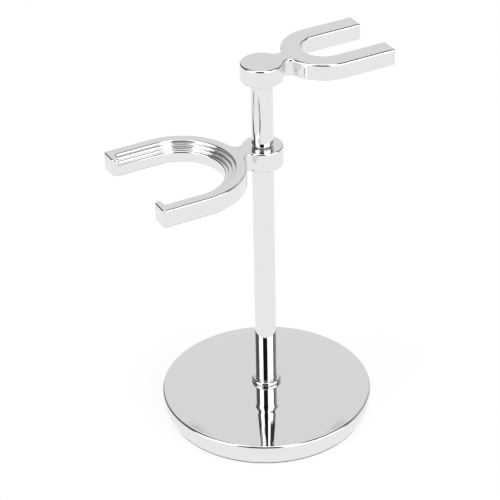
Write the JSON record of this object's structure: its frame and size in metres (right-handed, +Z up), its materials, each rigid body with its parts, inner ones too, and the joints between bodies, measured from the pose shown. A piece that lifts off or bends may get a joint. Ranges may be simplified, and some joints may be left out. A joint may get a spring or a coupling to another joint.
{
  "type": "razor stand",
  "caption": "Free-standing stand for a wet-shaving razor and brush: heavy round base, slim post, stepped brush fork and plain razor fork that turn on the post.",
  "frame": {"origin": "centre of the underside of the rubber disc, on the post axis, where the stand meets the table", "axes": "+Z up along the post, +X along the razor fork, -X along the brush fork at rest"},
  "size_m": [0.0914, 0.075, 0.1385],
  "materials": {
    "chrome_plate": "mirror-polished bright chrome plate over nickel",
    "cast_iron": "as-cast, dull",
    "rubber": "moulded, matt",
    "zinc_plated_steel": "bright zinc plate",
    "brass": "turned, satin",
    "nylon": "natural, satin"
  },
  "bodies": {
    "stand": {"base_shell": "chrome_plate", "base_weight": "cast_iron", "foot_disc": "rubber", "base_screw": "zinc_plated_steel", "base_spring_washer": "zinc_plated_steel", "base_washer": "zinc_plated_steel", "foot_ring": "chrome_plate", "lower_post": "chrome_plate", "lower_post_foot_plug": "brass", "lower_post_head_plug": "brass", "lower_slip_washer": "nylon", "upper_slip_washer": "nylon", "joining_stud": "zinc_plated_steel", "upper_post": "chrome_plate", "upper_post_foot_plug": "brass", "upper_post_head_plug": "brass", "razor_slip_washer": "nylon"},
    "brush_arm": {"brush_holder": "chrome_plate"},
    "razor_arm": {"razor_holder": "chrome_plate", "razor_stud": "zinc_plated_steel"}
  },
  "joints": [
    {"name": "brush_swivel", "type": "hinge", "parent": "stand", "child": "brush_arm", "pos_m": [0, 0, 0.1039], "axis": [0, 0, 1], "continuous": true},
    {"name": "razor_swivel", "type": "hinge", "parent": "stand", "child": "razor_arm", "pos_m": [0, 0, 0.1353], "axis": [0, 0, 1], "range_deg": [-180, 180]}
  ]
}
